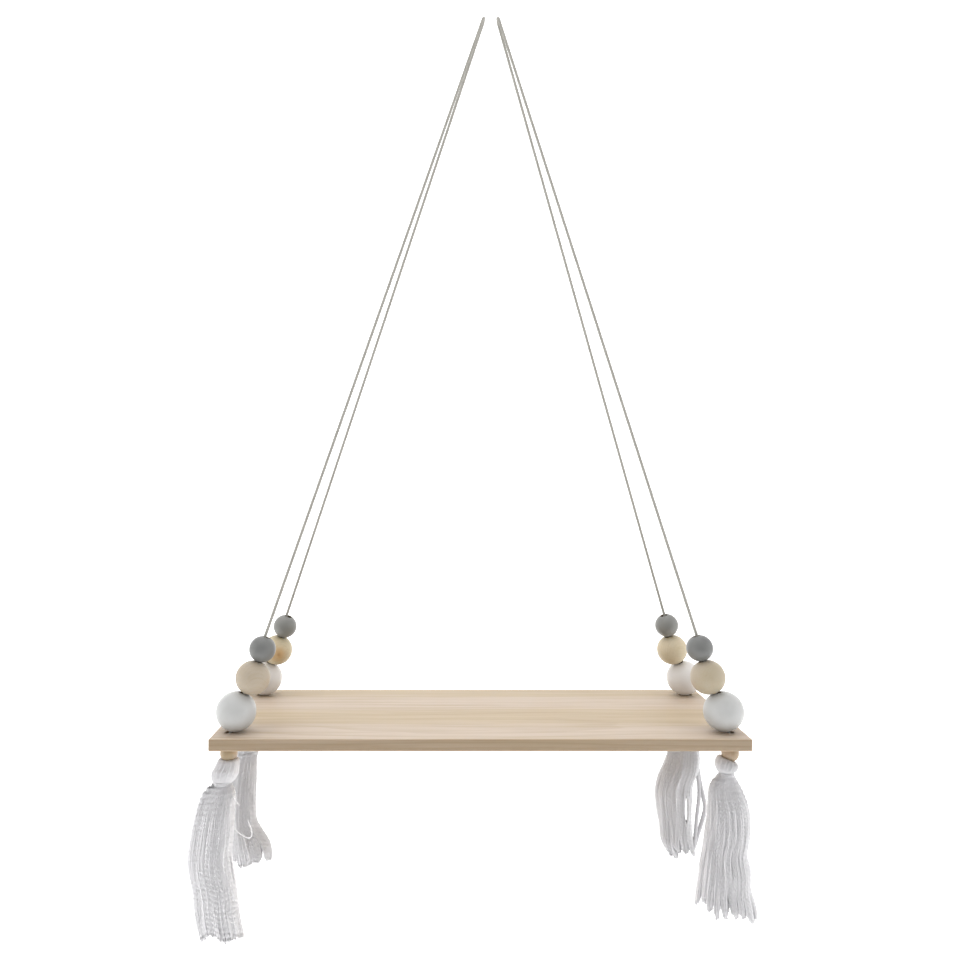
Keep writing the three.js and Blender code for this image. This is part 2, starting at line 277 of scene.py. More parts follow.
# Spun yarn and cord plies
def spinning_tree():
    """A grooved section spun along every line of a mesh, by the lines' own twist and thickness."""
    inputs = {
        "Lines": "Geometry", "Strand radius": "Float", "Section sides": "Int", "Plies": "Int",
        "Groove depth": "Float", "Finish": "Material",
    }
    tree, given, out = node_group("spun_strand", "Geometry", inputs, {"Strands": "Geometry"})
    lines = wired(tree, "GeometryNodeMeshToCurve", {"Mesh": given["Lines"]})["Curve"]
    twist = {"Curve": lines, "Tilt": named_field(tree, "twist")}
    twisted = wired(tree, "GeometryNodeSetCurveTilt", twist)["Curve"]
    circle = {"Resolution": given["Section sides"], "Radius": given["Strand radius"]}
    section = wired(tree, "GeometryNodeCurvePrimitiveCircle", circle)["Curve"]
    position = tree.nodes.new("GeometryNodeInputPosition").outputs[0]
    place = wired(tree, "ShaderNodeSeparateXYZ", {0: position})
    angle = math_node(tree, "ARCTAN2", place["Y"], place["X"])
    ripple = math_node(tree, "COSINE", times(tree, angle, given["Plies"]))
    swell = plus(tree, times(tree, ripple, given["Groove depth"]), 1.0)
    grooved = wired(tree, "ShaderNodeVectorMath", {0: position, "Scale": swell}, operation="SCALE")[0]
    shaped = wired(tree, "GeometryNodeSetPosition", {"Geometry": section, "Position": grooved})["Geometry"]
    thick = named_field(tree, "thick")
    sweep = {"Curve": twisted, "Profile Curve": shaped, "Scale": thick, "Fill Caps": True}
    strands = wired(tree, "GeometryNodeCurveToMesh", sweep)["Mesh"]
    real = wired(tree, "GeometryNodeRealizeInstances", {"Geometry": strands})["Geometry"]
    finish = wired(tree, "GeometryNodeSetMaterial", {"Geometry": real, "Material": given["Finish"]})
    tree.links.new(finish["Geometry"], out["Strands"])
    return tree


def spun(name, lines, radius, sides, plies, groove, material):
    """One plain mesh of strands. A line is (points, twist, thickness, tone), and its tone carries any painted
    light and shade.
    """
    points, edges, fields = [], [], {"twist": [], "thick": [], "tone_and_painted_shade": []}
    for route, *values in lines:
        start = len(points)
        points += [tuple(point) for point in route]
        edges += [(start + step, start + step + 1) for step in range(len(route) - 1)]
        for key, value in zip(fields, values):
            fields[key] += list(np.broadcast_to(value, len(route)))
    mesh = bpy.data.meshes.new(name)
    mesh.from_pydata(points, edges, [])
    for key, values in fields.items():
        mesh.attributes.new(key, "FLOAT", "POINT").data.foreach_set("value", np.array(values, np.float32))
    piece = placed(name, mesh)
    modifier = piece.modifiers.new("spun strand", "NODES")
    modifier.node_group = strand_tree
    chosen = {
        "Strand radius": radius, "Section sides": sides, "Plies": plies, "Groove depth": groove,
        "Finish": material,
    }
    for item in strand_tree.interface.items_tree:
        if item.name in chosen:
            modifier[item.identifier] = chosen[item.name]
    plain = plain_mesh(piece)
    piece.modifiers.remove(modifier)
    piece.data = plain
    plain.name = name
    if not plain.materials:
        plain.materials.append(material)
    plain.polygons.foreach_set("use_smooth", [len(face.vertices) == 4 for face in plain.polygons])
    return piece


# Materials
def mapped(tree, vector, scale):
    return wired(tree, "ShaderNodeMapping", {"Vector": vector, "Scale": scale})[0]


def noise_node(tree, vector, scale, detail, roughness=0.5, distortion=0.0):
    inputs = {"Vector": vector, "Scale": scale, "Detail": detail, "Roughness": roughness}
    return wired(tree, "ShaderNodeTexNoise", {**inputs, "Distortion": distortion})[0]


def ramp_node(tree, value, low, high, bottom=0.0, top=1.0):
    inputs = {"Value": value, "From Min": low, "From Max": high, "To Min": bottom, "To Max": top}
    return wired(tree, "ShaderNodeMapRange", inputs, interpolation_type="SMOOTHSTEP")[0]


def mix_node(tree, share, first, second):
    return wired(tree, "ShaderNodeMix", {0: share, 6: first, 7: second}, data_type="RGBA")[2]


def wood_group():
    """Growth rings about a pith line that runs along X, with fine fibres along it."""
    inputs = {
        "Place": "Vector", "Pale wood": "Color", "Ring line": "Color", "Blush": "Color",
        "Band width": 0.042, "Ring width": 0.0035, "Ring strength": 0.5, "Fibre strength": 0.3,
        "Streak strength": 0.0,
    }
    tree, given, out = node_group("wood_grain", "Shader", inputs, {"Color": "Color", "Height": "Float"})
    link = tree.links.new
    place = given["Place"]
    wander = noise_node(tree, mapped(tree, place, (3.0, 14.0, 14.0)), 1.0, 3)
    parts = wired(tree, "ShaderNodeSeparateXYZ", {0: place})
    squares = [math_node(tree, "POWER", parts[axis], 2.0) for axis in ("Y", "Z")]
    reach = math_node(tree, "SQRT", plus(tree, *squares))
    bent = plus(tree, reach, times(tree, wander, RING_WANDER))
    rings = math_node(tree, "DIVIDE", bent, given["Ring width"])
    within = math_node(tree, "FRACT", rings)
    late = ramp_node(tree, within, 0.45, 0.93)
    fall = ramp_node(tree, within, 0.93, 1.0, 1.0, 0.0)
    ring = times(tree, late, fall)
    whole = math_node(tree, "FLOOR", rings)
    uneven = wired(tree, "ShaderNodeTexWhiteNoise", {"W": whole}, noise_dimensions="1D")["Value"]
    strong = plus(tree, times(tree, uneven, 0.8), 0.2)
    ring = times(tree, ring, strong)
    patches = noise_node(tree, mapped(tree, place, (4.0, 26.0, 26.0)), 1.0, 2)
    fibres = noise_node(tree, mapped(tree, place, (22.0, 900.0, 900.0)), 1.0, 5, 0.7)
    drift = times(tree, math_node(tree, "SUBTRACT", patches, 0.5), BAND_DRIFT)
    across = plus(tree, parts["Y"], drift)
    bands = math_node(tree, "DIVIDE", across, given["Band width"])
    swing = math_node(tree, "SINE", times(tree, bands, math.pi))
    blush = ramp_node(tree, swing, -0.7, 0.7, 1.0, 0.0)
    ground = mix_node(tree, blush, given["Pale wood"], given["Blush"])
    drawn = times(tree, ring, given["Ring strength"])
    lined = mix_node(tree, drawn, ground, given["Ring line"])
    streak = times(tree, ramp_node(tree, fibres, 0.42, 0.75), given["Fibre strength"])
    streaks = noise_node(tree, mapped(tree, place, (7.0, 230.0, 230.0)), 1.0, 3, 0.65)
    band = times(tree, ramp_node(tree, streaks, 0.42, 0.68), given["Streak strength"])
    fibrous = mix_node(tree, streak, lined, given["Ring line"])
    link(mix_node(tree, band, fibrous, given["Ring line"]), out["Color"])
    link(math_node(tree, "SUBTRACT", fibres, times(tree, ring, 0.4)), out["Height"])
    return tree


def fibre_group():
    """Cotton: a soft cloudy tone, and fine fibres that lie along the strands."""
    inputs = {
        "Place": "Vector", "Cotton": "Color", "Hollow": "Color",
        "Fibre stretch": "Vector", "Fibre strength": "Float",
    }
    tree, given, out = node_group("cotton_fibre", "Shader", inputs, {"Color": "Color", "Height": "Float"})
    link = tree.links.new
    places = {0: given["Place"], 1: given["Fibre stretch"]}
    stretched = wired(tree, "ShaderNodeVectorMath", places, operation="MULTIPLY")[0]
    fibres = noise_node(tree, stretched, 1.0, 4, 0.6, 0.6)
    cloud = noise_node(tree, given["Place"], 55.0, 3)
    fine, soft = times(tree, fibres, 0.75), times(tree, cloud, 0.25)
    shadow = ramp_node(tree, plus(tree, fine, soft), 0.38, 0.7, 1.0, 0.0)
    dark = times(tree, shadow, given["Fibre strength"])
    link(mix_node(tree, dark, given["Cotton"], given["Hollow"]), out["Color"])
    link(fibres, out["Height"])
    return tree


def paint_group():
    """A thin coat on turned wood: faint brush ripple, uneven cover and a few specks of dust in it."""
    inputs = {"Place": "Vector", "Paint": "Color", "Thin cover": "Color", "Roughness": "Float"}
    outputs = {"Color": "Color", "Roughness": "Float", "Height": "Float"}
    tree, given, out = node_group("paint_film", "Shader", inputs, outputs)
    link = tree.links.new
    place = given["Place"]
    cover = noise_node(tree, place, 90.0, 3)
    ripple = noise_node(tree, mapped(tree, place, (260.0, 900.0, 900.0)), 1.0, 3)
    specks = ramp_node(tree, noise_node(tree, place, 1400.0, 1), 0.74, 0.8)
    worn, dusty = ramp_node(tree, cover, 0.45, 0.75, 0.0, 0.6), times(tree, specks, 0.3)
    thin = plus(tree, worn, dusty)
    link(mix_node(tree, thin, given["Paint"], given["Thin cover"]), out["Color"])
    uneven = ramp_node(tree, cover, 0.3, 0.7, -0.06, 0.08)
    link(plus(tree, given["Roughness"], uneven), out["Roughness"])
    link(plus(tree, ripple, specks), out["Height"])
    return tree


def material(name, roughness, bump_strength, bump_distance, settings=None):
    """A material with its shader, its object coordinates and the input that takes its relief's height."""
    made = bpy.data.materials.new(name)
    made.use_nodes = True
    tree = made.node_tree
    shader = tree.nodes["Principled BSDF"]
    shader.inputs["Roughness"].default_value = roughness
    for label, value in (settings or {}).items():
        shader.inputs[label].default_value = value
    place = tree.nodes.new("ShaderNodeTexCoord").outputs["Object"]
    bump = wired(tree, "ShaderNodeBump", {"Strength": bump_strength, "Distance": bump_distance})[0]
    tree.links.new(bump, shader.inputs["Normal"])
    return made, tree, shader, place, bump.node.inputs["Height"]


def soaked(share, depth, radius=(1.0, 1.0, 1.0)):
    """How much and how deep light soaks into a material."""
    return {"Subsurface Weight": share, "Subsurface Radius": radius, "Subsurface Scale": depth}


def wood_material(name, pith, turn, roughness, values, painted_edge_shade=None):
    """Wood whose pith line passes through the place pith. turn lays the grain along the piece."""
    settings = soaked(0.4, WOOD_SOAK_DEPTH, (1.0, 0.75, 0.5))
    made, tree, shader, place, height = material(name, roughness, 0.35, 0.12 * MM, settings)
    link = tree.links.new
    inputs = {"Vector": place, "Location": pith, "Rotation": turn}
    laid = wired(tree, "ShaderNodeMapping", inputs, vector_type="TEXTURE")[0]
    grain = wired(tree, "ShaderNodeGroup", {"Place": laid, **values}, node_tree=wood_grain)
    color = grain["Color"]
    # Painted shade: the board's upright faces are made darker and warmer than its top.
    if painted_edge_shade:
        normal = tree.nodes.new("ShaderNodeNewGeometry").outputs["True Normal"]
        level = math_node(tree, "ABSOLUTE", wired(tree, "ShaderNodeSeparateXYZ", {0: normal})["Z"])
        color = mix_node(tree, ramp_node(tree, level, 0.2, 0.8, 1.0, 0.0), color, painted_edge_shade)
        color.node.blend_type = "MULTIPLY"
    link(color, shader.inputs["Base Color"])
    link(grain["Height"], height)
    return made


def knotty_material():
    """The rear beads' paler wood again, with its painted light, and with the orange-brown stain of a knot on
    the side of one bead.
    """
    made = turned_wood_painted_light.copy()
    made.name = "bare_knotty_wood"
    tree = made.node_tree
    shader = tree.nodes["Principled BSDF"]
    plain = shader.inputs["Base Color"].links[0].from_socket
    place = next(node for node in tree.nodes if node.bl_idname == "ShaderNodeTexCoord").outputs["Object"]
    centre = middle_of("rear_left_natural_bead") + np.array(KNOT_STAIN_OFFSET)
    away = wired(tree, "ShaderNodeVectorMath", {0: place, 1: centre}, operation="DISTANCE")["Value"]
    reach = plus(tree, away, times(tree, noise_node(tree, place, 380.0, 3), 4 * MM))
    stain = ramp_node(tree, reach, 2 * MM, 13 * MM, 0.8, 0.0)
    heart = ramp_node(tree, reach, 1.5 * MM, 5 * MM, 0.55, 0.0)
    stained = mix_node(tree, stain, plain, (0.55, 0.34, 0.14, 1))
    tree.links.new(mix_node(tree, heart, stained, (0.33, 0.19, 0.09, 1)), shader.inputs["Base Color"])
    return made


def paint_material(name, paint, thin, soaking):
    """Matt paint that light soaks into by a share of soaking."""
    settings = {"Sheen Weight": 0.15, "Sheen Roughness": 0.35, **soaked(soaking, PAINT_SOAK_DEPTH)}
    made, tree, shader, place, height = material(name, PAINT_ROUGHNESS, 0.12, 0.08 * MM, settings)
    link = tree.links.new
    values = {"Place": place, "Paint": paint, "Thin cover": thin, "Roughness": PAINT_ROUGHNESS}
    film = wired(tree, "ShaderNodeGroup", values, node_tree=paint_film)
    link(film["Color"], shader.inputs["Base Color"])
    link(film["Roughness"], shader.inputs["Roughness"])
    link(film["Height"], height)
    return made


def cotton_material(name, cotton, hollow, stretch, strength, sheen, soaking):
    """Cotton that light soaks into by a share of soaking."""
    sheen_settings = {"Sheen Weight": sheen, "Sheen Roughness": 0.5, "Specular IOR Level": 0.2}
    settings = {**sheen_settings, **soaked(soaking, COTTON_SOAK_DEPTH)}
    made, tree, shader, place, height = material(name, 0.92, 0.35, 0.12 * MM, settings)
    link = tree.links.new
    values = {"Cotton": cotton, "Hollow": hollow, "Fibre stretch": stretch, "Fibre strength": strength}
    fibre = wired(tree, "ShaderNodeGroup", {"Place": place, **values}, node_tree=cotton_fibre)
    # The yarn's colour is scaled by each strand's tone, which carries painted shade and painted light.
    tone_and_painted_shade = wired(tree, "ShaderNodeAttribute", {}, attribute_name="tone_and_painted_shade")["Fac"]
    toned_with_painted_shade = wired(tree, "ShaderNodeVectorMath", {0: fibre["Color"], "Scale": tone_and_painted_shade}, operation="SCALE")[0]
    link(toned_with_painted_shade, shader.inputs["Base Color"])
    link(fibre["Height"], height)
    return made


# Camera, light and floor
def add_camera():
    data = bpy.data.cameras.new("camera")
    data.sensor_width = SENSOR_WIDTH
    data.lens = SENSOR_WIDTH * FOCAL_PIXELS / PHOTO_SIDE
    data.shift_x = (PHOTO_SIDE / 2 - AXIS_PIXEL) / PHOTO_SIDE
    camera = placed("camera", data)
    camera.location = CAMERA_PLACE
    camera.rotation_euler = (math.pi / 2, 0, 0)
    bpy.context.scene.camera = camera


def add_softbox(name, place, width, height, power):
    data = bpy.data.lights.new(name, "AREA")
    data.shape = "RECTANGLE"
    data.size, data.size_y, data.energy = width, height, power
    lamp = placed(name, data)
    lamp.location = place
    aim = Vector(LIT_PLACE) - Vector(place)
    lamp.rotation_euler = aim.to_track_quat("-Z", "Y").to_euler()


def add_light():
    """A white tent: palest above and at the sides, and darkest round the camera."""
    scene = bpy.context.scene
    scene.view_settings.view_transform = "Standard"
    world = bpy.data.worlds.new("tent")
    world.use_nodes = True
    tree = world.node_tree
    tree.nodes.clear()
    way = tree.nodes.new("ShaderNodeTexCoord").outputs["Generated"]
    turned_to = {0: way, 1: TENT_DARK_WAY}
    facing = wired(tree, "ShaderNodeVectorMath", turned_to, operation="DOT_PRODUCT")["Value"]
    round_camera = ramp_node(tree, facing, 0.35, 0.95, 1.0, 0.26)
    behind = ramp_node(tree, facing, -0.85, -0.15, 0.78, 1.0)
    white = (1, 1, 1, 1)
    glow = times(tree, round_camera, behind)
    lit = wired(tree, "ShaderNodeBackground", {"Color": white, "Strength": glow})[0]
    seen = wired(tree, "ShaderNodeBackground", {"Color": white, "Strength": 1.0})[0]
    camera_ray = tree.nodes.new("ShaderNodeLightPath").outputs["Is Camera Ray"]
    mix = wired(tree, "ShaderNodeMixShader", {0: camera_ray, 1: lit, 2: seen})[0]
    wired(tree, "ShaderNodeOutputWorld", {"Surface": mix})
    scene.world = world
    add_softbox("top_light", (-0.2, 0.0, 1.3), 1.8, 1.8, 13.5)
    add_softbox("left_light", (-1.6, -0.45, -0.2), 1.2, 1.6, 6.8)
    add_softbox("right_light", (1.6, -0.45, -0.2), 1.2, 1.6, 7)


def add_floor():
    """A pale floor far below, that sweeps up into a wall behind."""
    level, wide, front, bend_start, bend, wall = -1.42, 4.5, -3.5, 1.6, 1.2, 4.5
    section = [(front, level), (bend_start, level)]
    for angle in np.linspace(0, math.pi / 2, 17)[1:]:
        section.append((bend_start + bend * math.sin(angle), level + bend * (1 - math.cos(angle))))
    section.append((bend_start + bend, level + wall))
    points = [(x, y, z) for x in (-wide, wide) for y, z in section]
    count = len(section)
    faces = [(step, count + step, count + step + 1, step + 1) for step in range(count - 1)]
    made, tree, shader, place, height = material("floor_paper", 0.9, 0.1, 0.2 * MM)
    mottle = noise_node(tree, place, 3.0, 2)
    color = mix_node(tree, mottle, (0.96, 0.96, 0.96, 1), (0.93, 0.93, 0.93, 1))
    tree.links.new(color, shader.inputs["Base Color"])
    tree.links.new(noise_node(tree, place, 60.0, 2), height)
    shader.inputs["Emission Color"].default_value = (1, 1, 1, 1)
    shader.inputs["Emission Strength"].default_value = FLOOR_GLOW
    mesh_object("floor", points, faces, made)


# Cords
def strand_route(row_name, side_name):
    """Where a strand runs, from the bend past its foot and the hole to its knot, and the arc of the bend."""
    row, side = ROWS[row_name], SIDES[side_name]
    corner = pivots[f"{row_name}_{side_name}_tassel"]
    inset = FOOT_INSETS[f"{row_name}_{side_name}"]
    centre = np.array([side * CORD_SPACING / 2, 0, 0])
    foot = np.array([corner[0] - side * inset, corner[1], board_high.z])
    lean = math.atan2(abs(foot[0] - centre[0]), -board_high.z)
    bend_up = np.array([-side * math.sin(lean), 0, math.cos(lean)])
    across = np.array([0, row, 0])

    def arc(angle):
        return centre + BEND_RADIUS * (math.sin(angle) * across + math.cos(angle) * bend_up)

    reach = foot - centre
    drop, spread = -reach @ bend_up, reach @ across
    turn = math.pi - math.atan2(spread, drop) - math.acos(BEND_RADIUS / math.hypot(drop, spread))
    top = arc(turn)
    along = unit(top - foot)
    run_end = foot + along * FOOT_BEND_HEIGHT / along[2]
    hole = np.array([corner[0], corner[1], board_high.z - FOOT_BEND_DEPTH])
    handles = run_end, run_end - along * FOOT_BEND_HEIGHT / 2, hole + (0, 0, FOOT_BEND_DEPTH / 2), hole
    bezier = [
        sum(math.comb(3, k) * (1 - t) ** (3 - k) * t**k * handle for k, handle in enumerate(handles))
        for t in np.linspace(0, 1, FOOT_BEND_POINTS)
    ]
    return np.array([top, *bezier, corner]), arc


def knot_route(place):
    """A small overhand knot drawn tight: a closed three-lobed line."""
    turns = np.linspace(0, 2 * math.pi, KNOT_POINTS)
    x = np.sin(turns) + 2 * np.sin(2 * turns)
    y = np.cos(turns) - 2 * np.cos(2 * turns)
    z = -np.sin(3 * turns)
    reach = KNOT_RADIUS - CORD_RADIUS * 0.1
    return place + np.stack([x * reach / 3, y * reach / 3, z * reach * KNOT_HEIGHT_SHARE], axis=1)


def plies(route, tone_and_painted_shade=1.0):
    """The lines of a twisted cord's plies round a route."""
    points, travelled = evenly(route, PLY_PITCH / PLY_STEPS)
    across, beside = upright(points)
    lines = []
    for ply in range(PLY_COUNT):
        angle = 2 * math.pi * (travelled / PLY_PITCH + ply / PLY_COUNT)
        offset = np.cos(angle)[:, None] * across + np.sin(angle)[:, None] * beside
        lines.append((points + PLY_OFFSET * offset, 0.0, 1.0, tone_and_painted_shade))
    return lines


def add_cords():
    for side_name in SIDES:
        _, arc = strand_route("front", side_name)
        over = np.array([arc(angle) for angle in np.linspace(-BEND_REACH, BEND_REACH, BEND_POINTS)])
        bend = spun(f"{side_name}_cord_over_hook", plies(over), PLY_RADIUS, 8, 1, 0.0, cord_cotton)
        dress(bend, "cord_bends", "cord", f"{side_name}_cord_bend")
        for row_name in ROWS:
            corner = f"{row_name}_{side_name}"
            route, _ = strand_route(row_name, side_name)
            lines = plies(route) + plies(knot_route(route[-1]))
            strand = spun(f"{corner}_cord_strand", lines, PLY_RADIUS, 6, 1, 0.0, cord_cotton)
            dress(strand, "shelf", "cord", f"{corner}_cord")
            [tuple(point) for point in route[::-1]]


# Beads
def bead_profile(radius, bore):
    """A bored ball's section, with the mouths of the bore worn round."""
    mouth = math.asin((bore + MOUTH_ROUND) / radius)
    profile = []
    for step in range(BEAD_ARC_STEPS + 1):
        angle = math.pi - mouth - (math.pi - 2 * mouth) * step / BEAD_ARC_STEPS
        profile.append((radius * math.sin(angle), radius * math.cos(angle)))
    rim = math.sqrt(radius**2 - (bore + MOUTH_ROUND) ** 2)
    corner = rim - MOUTH_ROUND
    for end in (1, -1):
        steps = range(1, MOUTH_STEPS + 1)
        for step in steps if end == 1 else reversed(steps):
            angle = math.pi / 2 * step / MOUTH_STEPS
            wide = bore + MOUTH_ROUND * (1 - math.sin(angle))
            profile.append((wide, end * (corner + MOUTH_ROUND * math.cos(angle))))
    return profile


def add_bead(name, node, body, slot, radius, bore, axis, finish):
    profile = bead_profile(radius, bore)
    points, faces = turned(profile, BEAD_SIDES, middle_of(node), np.array(axis, float))
    # The bore's faces take a very dark wood: painted shade, as little light gets into the bore.
    ball = mesh_object(name, points, faces, finish, bore_painted_shade)
    inner = [int(index % len(profile) > BEAD_ARC_STEPS + 1) for index in range(len(faces))]
    ball.data.polygons.foreach_set("material_index", inner)
    return dress(ball, body, slot, node)


def add_beads():
    # Painted light: the rear beads' paint and wood are paler copies of the front beads', so they look as
    # brightly lit.
    finishes = {
        "front": (white_paint, bare_wood, grey_paint),
        "rear": (white_paint_painted_light, turned_wood_painted_light, grey_paint_painted_light),
    }
    for row in ROWS:
        white, natural, grey = finishes[row]
        kinds = [
            ("white", "white_bead", WHITE_RADIUS, white),
            ("natural", "bare_bead", NATURAL_RADIUS, natural),
            ("grey", "grey_bead", GREY_RADIUS, grey),
        ]
        for side in SIDES:
            corner = f"{row}_{side}"
            for kind, slot, radius, finish in kinds:
                body = f"{corner}_{kind}"
                # The rear left natural bead takes the knotty wood, which keeps the rear wood's painted light.
                if body == "rear_left_natural":
                    finish = knotty_wood
                add_bead(f"{body}_ball", f"{body}_bead", body, slot, radius, BEAD_BORE, lifts[body], finish)
            name, node = f"{corner}_small_ball", f"{corner}_under_bead"
            add_bead(name, node, "shelf", "bare_bead", SMALL_RADIUS, SMALL_BORE, (0, 0, 1), small_wood)


# Board
def add_board():
    """A flat board with its cord holes, its edges lightly rounded."""
    curve = bpy.data.curves.new("board", "CURVE")
    curve.dimensions = "2D"
    curve.fill_mode = "BOTH"
    curve.extrude = (board_high.z - board_low.z) / 2 - BOARD_EDGE
    curve.bevel_depth = BOARD_EDGE
    curve.bevel_resolution = BOARD_EDGE_STEPS
    curve.offset = -BOARD_EDGE
    (left, front), (right, rear) = board_low[:2], board_high[:2]
    outlines = [[(left, front), (right, front), (right, rear), (left, rear)]]
    angles = np.linspace(0, 2 * math.pi, BOARD_HOLE_SIDES, endpoint=False)
    for x, y, z in pivots.values():
        if z < 0:  # a tassel's, not the shelf's at the hook
            outlines.append([(x + BOARD_HOLE * math.cos(a), y - BOARD_HOLE * math.sin(a)) for a in angles])
    for outline in outlines:
        spline = curve.splines.new("POLY")
        spline.points.add(len(outline) - 1)
        for point, (x, y) in zip(spline.points, outline):
            point.co = (x, y, 0, 1)
        spline.use_cyclic_u = True
    flat = placed("board_outline", curve)
    mesh = plain_mesh(flat)
    bpy.data.objects.remove(flat)
    mesh.transform(Matrix.Translation((0, 0, (board_low.z + board_high.z) / 2)))
    mesh.materials.clear()
    mesh.materials.append(pine)
    dress(placed("planed_board", mesh), "shelf", "pine_board", "board")


# Tassels. Lengths are in millimetres from the knot that each tassel swings about: to the right, and down.
# neck is where the yarn is bound: its middle, its drop and its radius. sides holds the skirt's left and right
# edge at each drop, and hem the lowest yarn ends from left to right. tips are the places that the ends draw
# towards, by a share of pull, and slit is a gap's middle, top and bottom. tone is how pale the yarn is, and
# it
# is painted shade: each tassel is darker by how little light it gets. rise is painted light, how much paler
# the yarn gets towards the neck, and shade is painted light and shade, how much paler it gets towards the
# right.
# head_tone_painted_shade is how pale the head is, painted shade as well.
# over is the head's outline as radius and drop, and high the outline on its left where that side rides up.
TASSELS = {
    "front_left": {
        "tone_and_painted_shade": 0.9, "rise": 0.15, "head_tone_painted_shade": 0.8, "pull": 0.35,
        "tips": [-19.6, -16.6, -9.4, -5.8, -2.2, 1.4, 5.0, 8.6, 12.0],
        "neck": (-5.0, 12.6, 6.1),
        "sides": [
            (15.5, -14.6, 3.0), (19.5, -18.6, 4.2), (28.5, -23.2, 4.6), (40, -26.2, 4.2), (55, -29.2, 3.2),
            (67, -30.9, 2.2), (78, -30.4, 3.6), (92, -27.6, 5.8), (115, -25.0, 8.4), (134, -20.5, 12.6),
        ],
        "hem": [
            (-22, 126), (-19.4, 132.5), (-14.5, 128.5), (-9, 128.5), (-4, 133.8), (4, 131.6), (12.6, 128.4),
        ],
        "over": [
            (2.5, -1.5), (4.0, -3.2), (5.6, -4.8), (6.7, -4.3), (7.4, -1.8), (8.0, 1.0), (8.6, 4.0),
            (8.6, 6.8), (7.9, 9.2), (6.5, 11.2), (5.0, 12.6),
        ],
    },
    "front_right": {
        "tone_and_painted_shade": 0.73, "shade": 0.07, "rise": 0.36, "head_tone_painted_shade": 0.66, "pull": 0.45,
        "tips": [-25.3, -19.6, -14.8, -9.4, -2.8, 5.2, 11.0, 16.8, 21.0],
        "neck": (-2.9, 5.7, 4.9),
        "sides": [
            (11, -12.9, 4.8), (19, -16.5, 9.4), (28.5, -17.0, 13.2), (40, -17.6, 14.8), (52, -19.2, 14.8),
            (64, -20.9, 12.6), (79, -23.4, 15.2), (92, -25.4, 15.2), (102, -26.8, 17.8), (117, -27.2, 20.6),
        ],
        "hem": [
            (-25.9, 105), (-22.2, 100), (-19.4, 103.5), (-15.4, 111), (-11.9, 108.5), (-9.4, 117),
            (-6.6, 108.5), (-2.6, 116.5), (-0.5, 107), (4.2, 115.2), (7.3, 113.5), (11.2, 116), (13.5, 111),
            (16.8, 119.6), (21.2, 114),
        ],
        "over": [
            (2.9, -1.3), (4.2, -1.7), (5.3, -1.2), (5.8, 0.2), (5.7, 1.8), (5.2, 3.2), (4.4, 4.4),
            (3.8, 5.2),
        ],
        "high": [
            (3.0, -1.4), (5.2, -4.0), (6.8, -6.3), (8.3, -6.6), (9.4, -4.4), (9.0, -0.8), (7.0, 2.6),
            (4.2, 5.0),
        ],
    },
    "rear_left": {
        "tone_and_painted_shade": 0.745, "rise": 0.12, "pull": 0.5,
        "tips": [-25.2, -21.4, -17.2, -13, -9, -5, -1.6, 5.8, 9.0],
        "neck": (-1.6, 12.6, 6.1),
        "sides": [
            (24.6, -19.5, -1.4), (40, -24.0, -2.6), (56.6, -26.5, -3.2), (74, -28.0, -3.4),
            (88.6, -28.6, -1.6), (97, -28.6, 3.4), (108, -28.0, 9.4), (114, -26.4, 10.6), (127, -24.0, 9.6),
        ],
        "hem": [
            (-26, 113.6), (-17.1, 128.6), (-8, 125.2), (-1.2, 123), (0.9, 117), (3.2, 117), (4.8, 121.6),
            (9.6, 121.4),
        ],
    },
    "rear_right": {
        "tone_and_painted_shade": 0.69, "rise": 0.08, "pull": 0.6,
        "tips": [-22.5, -18.5, -14.5, -10.6, -6.0, -0.8, 4.8],
        "neck": (-2.6, 12.8, 6.2),
        "slit": (-2.3, 62, 93),
        "sides": [
            (24.6, -17.9, 9.0), (37, -22.8, 9.2), (44, -25.8, 7.4), (51, -28.2, 4.4), (63, -29.8, 3.0),
            (73, -28.8, 2.7), (90, -26.2, 2.6), (106, -24.4, 3.6), (118, -17.4, 5.6),
        ],
        "hem": [
            (-24.7, 108), (-17, 115), (-9.6, 119.8), (-8.0, 105), (-6.2, 114.4), (-4.2, 109.6),
            (-0.4, 115.4), (1.4, 113.6), (5.4, 119.2),
        ],
    },
}
REAR_HEAD = [
    (2.7, -1.5), (4.5, -3.0), (6.2, -4.6), (7.8, -4.0), (9.0, -1.6), (9.4, 1.8), (9.1, 5.2), (7.9, 8.4),
    (6.0, 10.8), (4.8, 12.2),
]
# Strands that hang clear of the rest: their thickness and their places, as (right, back, down)
LOOSE_STRANDS = {
    "front_left": [
        (0.26, [(0, 0, 18), (2.6, -2, 21), (4.6, -6, 25), (7.9, -9, 30.1)]),
        (0.24, [
            (0, 0, 34), (2.6, -2, 44), (4.6, -5, 48), (8.8, -8, 51.6), (13.5, -10, 54.2),
            (16.6, -11, 53.8), (17.4, -11, 50.0), (16.2, -11, 45.4), (14.2, -11, 41.0),
        ]),
    ],
    "rear_right": [
        (1.5, [
            (2, 1, 13), (6.4, 1, 27), (8.3, 1, 42.4), (10.5, 1, 54.8), (13.0, 1, 66.1), (14.5, 1, 74.8),
            (13.0, 1, 82.6), (10.5, 1, 91.0), (8.3, 1, 97.6), (6.1, 1, 105.3), (3.9, 1, 113.4),
        ]),
        (1.3, [
            (1, -2, 13), (5.0, -2, 28), (7.2, -1.8, 42), (8.9, -1.6, 55), (9.1, -1.8, 66.1),
            (8.0, -2, 75.4), (7.0, -2, 84.8), (6.1, -2, 95.3), (5.2, -2, 104.7), (4.6, -2, 111),
        ]),
    ],
}
# The loose strands' tones are painted shade: darker than their skirts' yarn, for the light they get.
LOOSE_TONES_PAINTED_SHADE = {"front_left": 0.72, "rear_right": 0.56}

